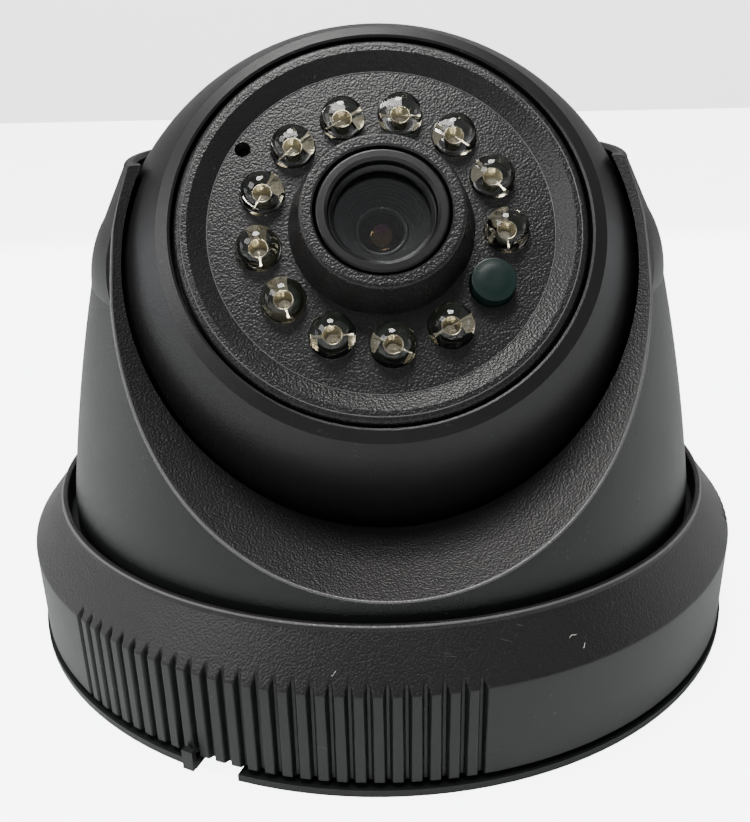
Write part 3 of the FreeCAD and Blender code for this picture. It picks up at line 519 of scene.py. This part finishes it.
NODE_FINISH = {
    "wall": ("base_plate",),
    "turret": ("turret_shell",),
    "ring": ("lock_ring",),
    "ball": ("ball_front_shell", "ball_rear_shell"),
    "face": ("face_plate",),
    "inner": ("ball_seat", "roll_ring", "lens_holder"),
    "rubber": ("seat_gasket", "cable_grommet"),
    "steel": ("seat_screws", "roll_ring_screws", "led_board_screws", "main_board_screws",
              "lens_holder_screws"),
    "epoxy": ("ir_leds",),
    "silver": ("led_lead_frames",),
    "cap": ("light_sensor_cap",),
    "chip": ("light_sensor", "led_board_parts", "processor_chip"),
    "can": ("microphone",),
    "board": ("led_board", "main_board"),
    "brass": ("standoffs",),
    "sensor": ("image_sensor",),
    "nylon": ("board_sockets",),
    "ribbon": ("board_cable",),
    "filter": ("ir_filter",),
    "anodised": ("lens_lock_nut", "lens_barrel", "lens_spacer"),
    "lens": ("lens_front_glass",),
    "light_trap": ("lens_baffle",),
    "grey_ring": ("lens_inner_ring",),
    "amber_eye": ("lens_inner_glass",),
    "rear_lens": ("lens_rear_element",),
}


def dress_nodes():
    """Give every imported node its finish."""
    for finish, names in NODE_FINISH.items():
        for name in names:
            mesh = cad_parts[name].data
            mesh.materials.clear()
            mesh.materials.append(FINISH[finish])


# ---------------------------------------------------------------- lock ring


def soft_least(first, second, softness):
    """A smooth minimum: -k log(exp(-a/k) + exp(-b/k))."""
    low = np.minimum(first, second)
    return low - softness * np.log(np.exp(-(first - low) / softness) + np.exp(-(second - low) / softness))


def groove_columns():
    """Angles round the ring, close together over each grip groove and sparse between the three zones."""
    spot = np.array([-0.95, -0.80, -0.66, -0.56, -0.49, -0.43, -0.36, -0.28, -0.21, -0.15, -0.05,
                     0.05, 0.15, 0.21, 0.28, 0.36, 0.43, 0.49, 0.56, 0.66, 0.80])
    offsets = np.degrees(spot / WALL_RADIUS)
    zone = (np.arange(GROOVE_COUNT)[:, None] * GROOVE_PITCH + offsets).ravel()
    zone_end = (GROOVE_COUNT - 1) * GROOVE_PITCH
    between = np.linspace(zone_end + 1.15, 120 - 2.4, 44)
    third = np.concatenate([zone, between])
    return np.concatenate([third + start for start in (0, 120, 240)]) + GROOVE_START


def groove_radius(angles):
    """The radius that the grooves leave: a flat floor 0.34 wide with straight flanks that open to 0.94
    at the wall, and past that a radius so large that it cuts nothing."""
    from_start = (angles - GROOVE_START) % 120
    number = np.clip(np.round(from_start / GROOVE_PITCH), 0, GROOVE_COUNT - 1)
    across = np.abs(np.radians(from_start - number * GROOVE_PITCH)) * WALL_RADIUS
    wrapped = np.abs(np.radians(from_start - 120)) * WALL_RADIUS
    across = np.minimum(across, wrapped)
    flank = np.maximum(across - GROOVE_HALF_FLOOR, 0) * (GROOVE_DEPTH / GROOVE_FLANK)
    return WALL_RADIUS - GROOVE_DEPTH + flank


def make_lock_ring():
    """Radius at each profile point is the smooth minimum of the plain ring's and the grooves'."""
    profile = rounded([
        (RING_INNER, RING_BOTTOM),
        (WALL_FOOT_RADIUS, RING_BOTTOM, 0.25),
        (WALL_RADIUS, RING_EDGE, 0.55),
        (CONE_TOP_RADIUS, CONE_TOP, 0.10),
        (CONE_TOP_RADIUS - 0.05, LIP_TOP, 0.30),
        (LIP_INNER, LIP_TOP, 0.30),
        (LIP_INNER, RING_LAND),
        (RING_LAND_RADIUS, RING_LAND),
        (RING_INNER, RING_EDGE - 0.3),
    ], steps=7)
    step = np.diff(np.vstack([profile, profile[:1]]), axis=0)
    pieces = np.where((np.hypot(*step.T) > 1.5) & (profile[:, 0] > CONE_TOP_RADIUS + 0.05), 12, 1)
    share = np.concatenate([np.linspace(0, 1, count, endpoint=False) for count in pieces])
    start = np.repeat(np.arange(len(profile)), pieces)
    profile = profile[start] + step[start] * share[:, None]
    angles = groove_columns()
    radius = np.repeat(profile[:, :1], len(angles), axis=1)
    cutting = soft_least(radius, groove_radius(angles)[None, :], 0.045)
    outside = (profile[:, :1] > RING_INNER + 0.4) | (profile[:, 1:] > RING_EDGE + 0.1)
    radius = np.where(outside, cutting, radius)
    turn = np.radians(angles)
    points = np.stack([radius * np.cos(turn), radius * np.sin(turn),
                       np.repeat(profile[:, 1:], len(angles), axis=1)], axis=-1).reshape(-1, 3)
    faces = grid_faces(len(profile), len(angles), True, True).tolist()
    lugs = []
    half_lug, lug_inner, lug_low, lug_high = 12, 43.15, 4.4, 6.0
    for centre in (0, 120, 240):
        sweep = np.radians(np.linspace(centre - half_lug, centre + half_lug, 24))
        inner, outer = lug_inner, RING_INNER + 0.3
        loop = np.vstack([np.column_stack([outer * np.cos(sweep), outer * np.sin(sweep)]),
                          np.column_stack([inner * np.cos(sweep[::-1]), inner * np.sin(sweep[::-1])])])
        lugs.append(slab_straight(loop, lug_low, lug_high))
    piece("grip_ring", gather([(points, faces)] + lugs), "ring", FINISH["ring"],
          replaces=("lock_ring",), sharp=40)


# ---------------------------------------------------------------- scoop edge


def wall_radius_at(height):
    """The turret wall's radius: straight tapers with a slow bulge between the foot and shoulder."""
    radius = np.interp(height, TURRET_HEIGHTS, TURRET_RADII)
    foot, shoulder = TURRET_HEIGHTS[:2]
    share = np.clip((height - foot) / (shoulder - foot), 0, 1)
    return radius + WALL_BULGE * 4 * share * (1 - share)


def make_scoop_edge():
    """The thin rounded edge where the scoop meets the wall, a light grey bead that paints the highlight along
    the crease.

    For each side angle the height is found where the wall's radius meets the cone: the cone holds
    all points whose distance from its axis is (height along the axis - point) tan(half angle).
    """
    elevation, half_angle = math.radians(SCOOP_ELEVATION), math.radians(SCOOP_HALF_ANGLE)
    axis = np.array([0, -math.cos(elevation), math.sin(elevation)])
    turn = np.radians(np.linspace(-162, -18, 260))
    low, high = np.full(len(turn), 15.0), np.full(len(turn), 58.2)

    def in_cone(height):
        """Whether the wall at each turn and height lies inside the cone."""
        radius = wall_radius_at(height)
        spot = np.stack([radius * np.cos(turn), radius * np.sin(turn), height - SCOOP_AXIS_HEIGHT], axis=-1)
        along = spot @ axis
        away = np.linalg.norm(spot - along[:, None] * axis, axis=1)
        return away - (along - SCOOP_POINT) * math.tan(half_angle) < 0

    for _ in range(30):
        middle = (low + high) / 2
        inside = in_cone(middle)
        high = np.where(inside, middle, high)
        low = np.where(inside, low, middle)
    kept = low < 57.6
    height, turn = low[kept], turn[kept]
    radius = wall_radius_at(height) - 0.03
    path = np.stack([radius * np.cos(turn), radius * np.sin(turn), height + 0.02], axis=-1)
    fade = np.clip(np.minimum(np.arange(len(path)), np.arange(len(path))[::-1]) / 12, 0.1, 1)
    piece("scoop_edge", swept(path, 0.19 * fade, 12), "turret", FINISH["edge_highlight"])


def make_edge_highlight_beads():
    """Thin round beads in a light grey that paints the highlight along an edge: the ring's lip, and the face
    plate's crest and step. Each is a circle swept with a small round section."""
    t = np.linspace(0, 2 * np.pi, 400, endpoint=False)

    def bead(radius, height, thick):
        """One circle of small round section."""
        path = np.stack([radius * np.cos(t), radius * np.sin(t), height + 0 * t], axis=-1)
        return swept(path, thick, 10, closed=True)

    piece("lip_edge", bead(CONE_TOP_RADIUS - 0.21, LIP_TOP - 0.15, 0.16), "ring", FINISH["edge_highlight"])
    piece("plate_edges", gather([bead(21.62, 24.36, 0.07), bead(18.98, 23.19, 0.07)]), "ball",
          FINISH["edge_highlight"], tilted=True)


# ---------------------------------------------------------------- lamps


def lamp_places():
    """The twelve lamps' centres; the thirteenth place on the circle is the sensor cap's."""
    turn = np.radians(LAMP_TURN + LAMP_STEP * np.arange(LAMP_COUNT))
    return np.column_stack([LAMP_CIRCLE * np.cos(turn), LAMP_CIRCLE * np.sin(turn)])


def make_lamp_lenses():
    """Each lamp is a profile turned about its own axis: flange, barrel, then a quarter circle dome."""
    middle = LAMP_TIP - LAMP_RADIUS
    t = np.linspace(0, np.pi / 2, 20)
    dome = np.column_stack([LAMP_RADIUS * np.cos(t), middle + LAMP_RADIUS * np.sin(t)])
    foot = rounded([(LAMP_RADIUS + 0.35, LAMP_SEAT + 0.02, 0.1), (LAMP_RADIUS + 0.35, LAMP_SEAT + 0.9, 0.15),
                    (LAMP_RADIUS + 0.02, LAMP_SEAT + 1.0, 0.1)], steps=4)
    profile = np.vstack([[(0, LAMP_SEAT + 0.02), (1.5, LAMP_SEAT + 0.02)], foot,
                         [(LAMP_RADIUS, LAMP_SEAT + 2.6)], dome])
    profile[-1, 0] = 0
    shapes = [turned(profile, 48, tuple(spot)) for spot in lamp_places()]
    piece("lamp_lenses", gather(shapes), "ball", FINISH["epoxy"], tilted=True,
          replaces=("ir_leds",), sharp=60)


# the way each lamp's broad arm points, in degrees
ARM_ANGLES = (92, 128, 143, 178, 32, 44, 62, 98, 105, 182, 152, 208)


def turn_outline(outline_points, degrees):
    """Turn an outline anticlockwise about its origin."""
    angle = math.radians(degrees)
    spin = np.array([[math.cos(angle), math.sin(angle)], [-math.sin(angle), math.cos(angle)]])
    return np.asarray(outline_points, dtype=float) @ spin


def make_lamp_frames():
    """In each lamp: a dished cup with its chip, a broad arm one way and a narrow one the other, and
    a leg down from each arm. The cup is a profile turned about the lamp's axis."""
    cup_top = LAMP_TIP - LAMP_RADIUS - 0.15
    cup = rounded([(0.05, cup_top - 1.1), (0.42, cup_top - 1.1, 0.1), (0.72, cup_top - 0.1, 0.04),
                   (0.72, cup_top, 0.04), (0.65, cup_top, 0.04), (0.34, cup_top - 0.8, 0.05),
                   (0.05, cup_top - 0.8)], steps=3)
    shapes = []
    for spot, angle in zip(lamp_places(), ARM_ANGLES):
        shapes.append(turned(cup, 32, tuple(spot)))
        chip = [(-0.16, -0.16), (0.16, -0.16), (0.16, 0.16), (-0.16, 0.16)]
        broad = [(0.60, -0.12), (1.15, -0.11), (1.62, -0.20), (1.62, 0.20), (1.15, 0.11), (0.60, 0.12)]
        narrow = [(-1.62, -0.10), (-0.95, -0.06), (-0.68, -0.10), (-0.68, 0.10), (-0.95, 0.06), (-1.62, 0.10)]
        bond = [(-0.70, -0.04), (-0.05, -0.04), (-0.05, 0.04), (-0.70, 0.04)]
        for outline_points, low, high in ((chip, cup_top - 0.8, cup_top - 0.6),
                                          (broad, cup_top - 0.2, cup_top - 0.06),
                                          (narrow, cup_top - 0.18, cup_top - 0.04),
                                          (bond, cup_top - 0.12, cup_top - 0.02)):
            shapes.append(slab(turn_outline(outline_points, angle) + spot, low, high))
        leg = [(1.2, -0.1), (1.5, -0.1), (1.5, 0.1), (1.2, 0.1)]
        for turn in (angle, angle + 180):
            shapes.append(slab(turn_outline(leg, turn) + spot, LAMP_SEAT + 0.1, cup_top - 1.2))
    piece("lamp_frames", gather(shapes), "ball", FINISH["silver"], tilted=True,
          replaces=("led_lead_frames",), sharp=30)


def make_sensor_cap():
    """The green cap: a turned profile with a rounded rim and a very slightly crowned top."""
    turn = math.radians(LAMP_TURN + LAMP_STEP * LAMP_COUNT)
    spot = (LAMP_CIRCLE * math.cos(turn), LAMP_CIRCLE * math.sin(turn))
    profile = np.vstack([
        rounded([(1.90, LAMP_SEAT), (2.45, LAMP_SEAT, 0.05), (2.45, CAP_TOP, 0.20), (1.7, CAP_TOP)], steps=6),
        [(1.6, CAP_TOP + 0.03), (0.8, CAP_TOP + 0.05), (0.0, CAP_TOP + 0.055)]])
    inside = [(0.0, LAMP_SEAT + 1.8), (1.90, LAMP_SEAT + 1.8)]
    piece("sensor_cap", turned(np.vstack([inside, profile]), 64, spot), "ball", FINISH["cap"],
          tilted=True, replaces=("light_sensor_cap",), sharp=50)


# ---------------------------------------------------------------- lens


def make_lens_details():
    """Turned pieces inside the lens head: retainer, stepped light trap, grey ring and two eyes."""
    bore, rim = 5.22, 5.80
    retainer = rounded([(bore, 25.52), (rim, 25.50), (rim, 26.35, 0.08), (5.62, 26.40, 0.08),
                        (bore, 25.85, 0.06)], steps=4)
    piece("glass_retainer", turned(retainer, 128), "lens", FINISH["anodised"], tilted=True)

    trap_steps, trap_throat, trap_mouth, trap_low, trap_high = 9, 2.85, 5.30, 21.70, 24.00
    along = np.linspace(0, 1, trap_steps)
    trap_radius = trap_throat + (trap_mouth - trap_throat) * along
    trap_height = trap_low + (trap_high - trap_low) * along
    inner_wall = np.column_stack([np.repeat(trap_radius, 2)[1:-1],
                                  np.repeat(trap_height, 2)[:-2]])[::-1]
    trap = np.vstack([[(trap_throat, 20.7), (5.38, 20.7), (5.38, 24.08)], inner_wall])
    piece("light_trap_cone", turned(trap, 128), "lens", FINISH["light_trap"], tilted=True,
          replaces=("lens_baffle",), sharp=20)

    ring = rounded([(2.30, 21.15), (2.72, 21.15, 0.05), (2.78, 21.75, 0.14), (2.42, 21.75, 0.14)], steps=5)
    piece("grey_iris_ring", turned(ring, 96), "lens", FINISH["grey_ring"], tilted=True,
          replaces=("lens_inner_ring",), sharp=50)

    dome_steps, eye_radius, eye_angle, eye_rim, eye_rise = 14, 2.22, 0.98, 20.95, 1.05
    radius = eye_radius * np.sin(np.linspace(eye_angle, 0, dome_steps)) / math.sin(eye_angle)
    dome = np.column_stack([radius, eye_rim + eye_rise * (1 - (radius / eye_radius) ** 2)])
    dome[-1, 0] = 0
    eye = np.vstack([[(0, 20.62), (eye_radius, 20.62)], dome])
    piece("front_eye", turned(eye, 64), "lens", FINISH["amber_eye"], tilted=True,
          replaces=("lens_inner_glass",), sharp=60)

    pupil_radius, pupil_rim, pupil_rise = 0.62, 22.02, 0.05
    bowl_radius = pupil_radius * np.linspace(0, 1, dome_steps)[::-1]
    bowl = np.column_stack([bowl_radius, pupil_rim + pupil_rise * (1 - (bowl_radius / pupil_radius) ** 2)])
    bowl[-1, 0] = 0
    pupil = np.vstack([[(0, 21.9), (pupil_radius, 21.9)], bowl])
    piece("pupil_glass", turned(pupil, 48), "lens", FINISH["plum_eye"], tilted=True, sharp=60)


# ---------------------------------------------------------------- lint


def make_lint():
    """A few short hairs of dust lying on the ring's cone: sine curls laid along the cone's slope."""
    # each hair's turn in degrees, height, length and curl
    hairs = ((-66.5, 14.6, 1.0, 0.10), (-65.4, 13.6, 0.5, -0.08), (-98.0, 13.9, 0.5, -0.10))
    lying_radius = 45
    shapes = []
    for turn, height, length, curl in hairs:
        t = np.linspace(0, 1, 18)
        angle = np.radians(turn) + (t - 0.5) * length / lying_radius
        level = height + curl * np.sin(t * 5.0) + 0.25 * (t - 0.5)
        slope = (WALL_RADIUS - CONE_TOP_RADIUS) / (CONE_TOP - RING_EDGE)
        radius = WALL_RADIUS - (level - RING_EDGE) * slope + 0.05
        path = np.stack([radius * np.cos(angle), radius * np.sin(angle), level], axis=-1)
        shapes.append(swept(path, 0.035 * np.clip(np.minimum(t, 1 - t) * 6, 0.3, 1), 6))
    piece("lint_hairs", gather(shapes), "ring", FINISH["lint"])


# ---------------------------------------------------------------- stage, lights and camera


def stage_plane(name, size, place, turn, near_colour, far_colour, roughness, glow):
    """A large flat quad for the floor or the wall behind. Its colour changes with distance, and glow
    lightens it for the camera without lighting the part."""
    half = size / 2
    corners = [(-half, -half, 0), (half, -half, 0), (half, half, 0), (-half, half, 0)]
    mesh = bpy.data.meshes.new(name)
    spin = Matrix.Translation(place) @ Matrix.Rotation(turn, 4, "X")
    mesh.from_pydata([tuple(spin @ Vector(corner)) for corner in corners], [], [(0, 1, 2, 3)])
    plane = bpy.data.objects.new(name, mesh)
    bpy.context.collection.objects.link(plane)
    material, tree, shader, spot = start_material(name)
    away = put(tree, "ShaderNodeSeparateXYZ", {0: spot}).outputs[1]
    cloud = noise(tree, spot, 3.0, 1.0)
    share = stretch(tree, maths(tree, "MULTIPLY_ADD", cloud, 0.04, away), 0.235, 0.285, smooth=True)
    tone = blend_colour(tree, share, near_colour, far_colour)
    tree.links.new(tone, shader.inputs["Base Color"])
    tree.links.new(tone, shader.inputs["Emission Color"])
    seen = put(tree, "ShaderNodeLightPath").outputs["Is Camera Ray"]
    tree.links.new(maths(tree, "MULTIPLY", seen, glow), shader.inputs["Emission Strength"])
    shader.inputs["Roughness"].default_value = roughness
    mesh.materials.append(material)


def soft_lamp(name, shape, place, target, width, power, colour, depth=None):
    """An area light at a place, aimed at a target; depth makes a rectangle of it."""
    light = bpy.data.lights.new(name, "AREA")
    light.shape = shape
    light.size = width
    if depth:
        light.size_y = depth
    light.energy = power
    light.color = colour
    lamp = bpy.data.objects.new(name, light)
    bpy.context.collection.objects.link(lamp)
    aim = Vector(target) - Vector(place)
    lamp.matrix_world = Matrix.Translation(place) @ aim.to_track_quat("-Z", "Y").to_matrix().to_4x4()


def make_stage():
    """A white table, a pinkish paper wall behind, a lamp above and three soft panels round about."""
    white, paper = (0.93, 0.95, 0.955), (0.80, 0.775, 0.785)
    stage_plane("table_top", 3.0, (0, 0, 0), 0, white, paper, 0.4, 6.5)
    stage_plane("paper_wall", 3.0, (0, 0.9, 1.0), math.radians(90), paper, paper, 0.8, 3.2)
    world = bpy.data.worlds.new("soft_room")
    world.use_nodes = True
    background = world.node_tree.nodes["Background"]
    background.inputs["Color"].default_value = (0.95, 0.97, 1.0, 1)
    background.inputs["Strength"].default_value = 0.27
    bpy.context.scene.world = world
    target = (0, 0, 0.03)
    warm, neutral, cool = (1.0, 0.99, 0.97), (1.0, 0.99, 0.98), (0.94, 0.97, 1.0)
    soft_lamp("ceiling_lamp", "DISK", (-0.08, -0.03, 0.75), target, 0.32, 5.4, warm)
    soft_lamp("front_panel", "RECTANGLE", (-0.56, -0.26, 0.50), target, 0.40, 2.0, neutral, 0.3)
    soft_lamp("window_left", "RECTANGLE", (-0.80, 0.10, 0.16), target, 0.6, 0.9, cool, 0.25)
    soft_lamp("window_right", "RECTANGLE", (0.80, 0.10, 0.16), target, 0.6, 0.6, (0.96, 0.98, 1.0), 0.25)


def make_camera():
    """The camera stands close in front and a little above, turned slightly about the part and rolled."""
    camera_data = bpy.data.cameras.new("camera")
    camera_data.lens = 40.6
    camera_data.sensor_width = 36
    camera_data.clip_start = 0.005
    camera = bpy.data.objects.new("camera", camera_data)
    bpy.context.collection.objects.link(camera)
    orbit = Matrix.Rotation(math.radians(-1.8), 4, "Z")
    aside = Matrix.Rotation(math.radians(0.30), 4, "Z")
    down = Matrix.Rotation(math.radians(90 - 21.65), 4, "X")
    roll = Matrix.Rotation(math.radians(-1.10), 4, "Z")
    camera.matrix_world = orbit @ Matrix.Translation((0, -0.120, 0.071)) @ aside @ down @ roll
    bpy.context.scene.camera = camera


make_camera()
make_stage()
dress_nodes()
make_lock_ring()
make_scoop_edge()
make_edge_highlight_beads()
make_lamp_lenses()
make_lamp_frames()
make_sensor_cap()
make_lens_details()
make_lint()
